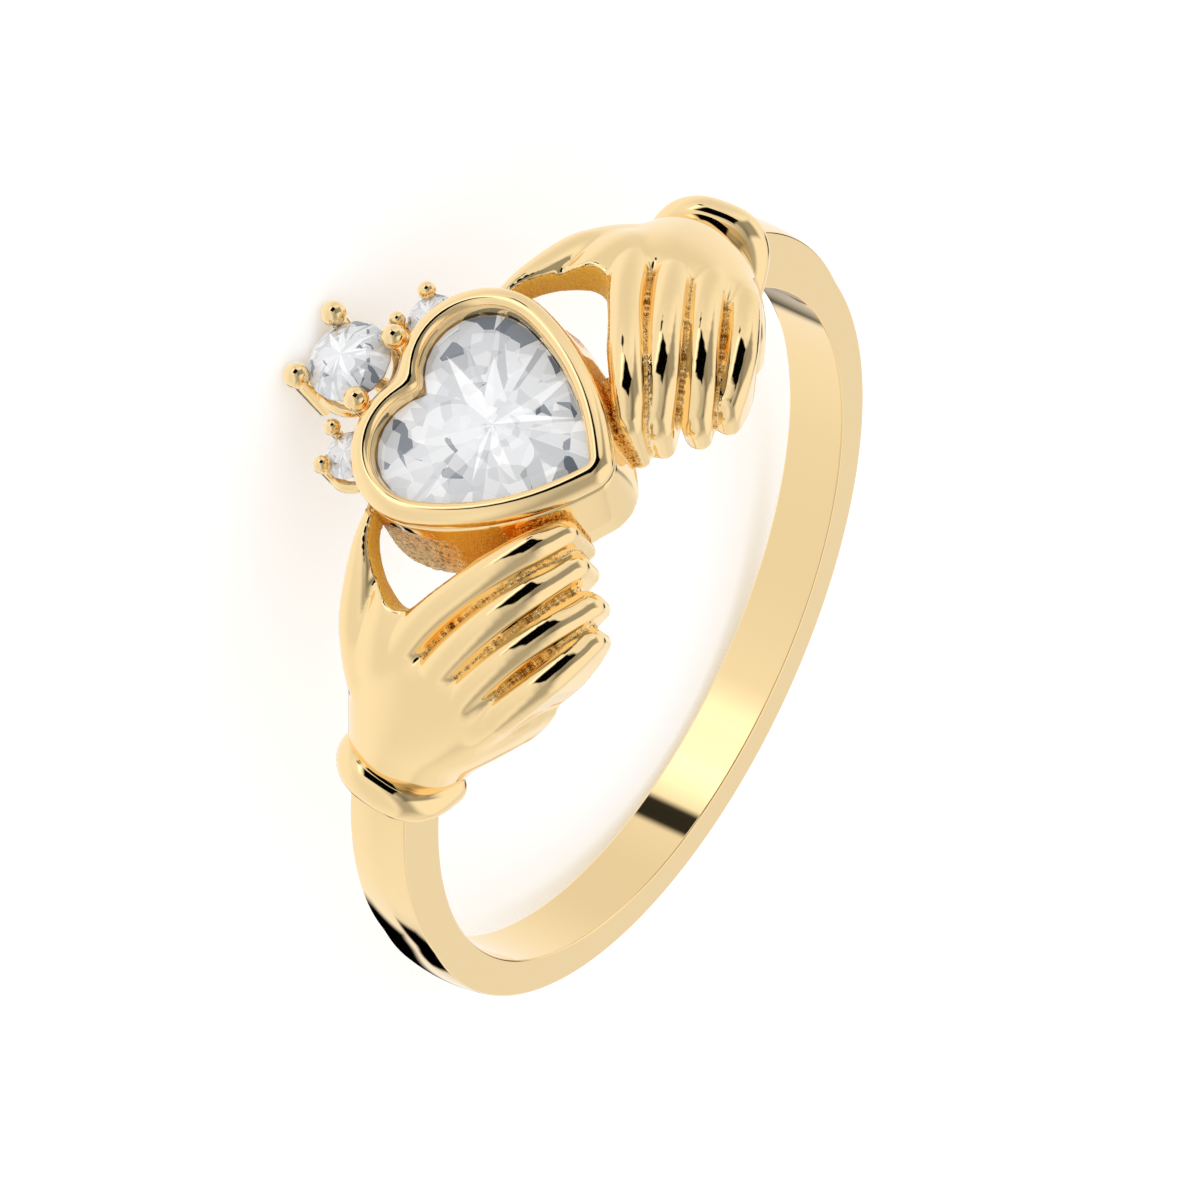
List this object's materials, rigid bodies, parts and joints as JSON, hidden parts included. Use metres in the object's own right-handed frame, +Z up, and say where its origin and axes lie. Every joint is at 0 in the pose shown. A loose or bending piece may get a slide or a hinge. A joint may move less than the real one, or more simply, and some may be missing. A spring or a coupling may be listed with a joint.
{
  "type": "claddagh ring",
  "caption": "Ring whose two cuffed hands hold a heart-cut stone in a bezel, with a small crown of round stones above the heart.",
  "frame": {"origin": "centre of the finger hole, on its axis, at the middle of the band's width", "axes": "-Y from the finger hole's centre out to the heart and hands; +Z up from the surface the ring lies on, close to the finger hole's axis; +X across the head from one hand to the other"},
  "size_m": [0.0194, 0.0215, 0.0091],
  "materials": {
    "gold": "polished yellow gold with cast texture in the grooves",
    "heart_stone": "clear faceted heart-cut stone",
    "crown_stones": "clear round brilliant stones"
  },
  "bodies": {
    "root": {"ring_casting": "gold", "heart_stone": "heart_stone", "crown_stone_middle": "crown_stones", "crown_stone_left": "crown_stones", "crown_stone_right": "crown_stones"}
  },
  "joints": []
}
